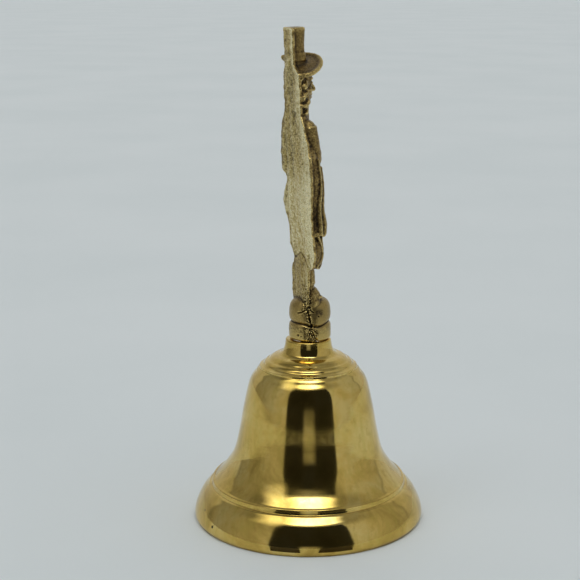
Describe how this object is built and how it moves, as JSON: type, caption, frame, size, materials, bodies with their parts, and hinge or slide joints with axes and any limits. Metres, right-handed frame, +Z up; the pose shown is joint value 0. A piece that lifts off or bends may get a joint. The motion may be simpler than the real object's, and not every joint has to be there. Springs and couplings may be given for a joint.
{
  "type": "sanctus hand bell",
  "caption": "Brass hand bell with a flared turned body, a cast figure in a tall hat and long cloak as its handle, and a ball clapper on a wire link.",
  "frame": {"origin": "centre of the mouth, on the surface the bell stands on", "axes": "+Z up along the bell's axis, -Y towards the front of the figure, +X towards the figure's left"},
  "size_m": [0.072, 0.072, 0.1525],
  "materials": {
    "polished_brass": "turned and polished, light tarnish",
    "cast_brass": "sand cast, brown patina in the recesses, rubbed bright on the edges",
    "turned_brass": "machined",
    "zinc_steel": "zinc plated"
  },
  "bodies": {
    "bell": {"bell_body": "polished_brass", "handle_figure": "cast_brass", "handle_stud": "zinc_steel", "crown_washer": "turned_brass", "spring_washer": "zinc_steel", "crown_nut": "turned_brass"},
    "link": {"clapper_link": "zinc_steel"},
    "clapper": {"clapper_rod": "turned_brass", "clapper_ball": "turned_brass"}
  },
  "joints": [
    {"name": "link_swing", "type": "hinge", "parent": "bell", "child": "link", "pos_m": [0, 0, 0.0379], "axis": [0, 1, 0], "range_deg": [-26, 26]},
    {"name": "clapper_swing", "type": "hinge", "parent": "link", "child": "clapper", "pos_m": [0, 0, 0.0328], "axis": [1, 0, 0], "range_deg": [-32, 32]}
  ]
}
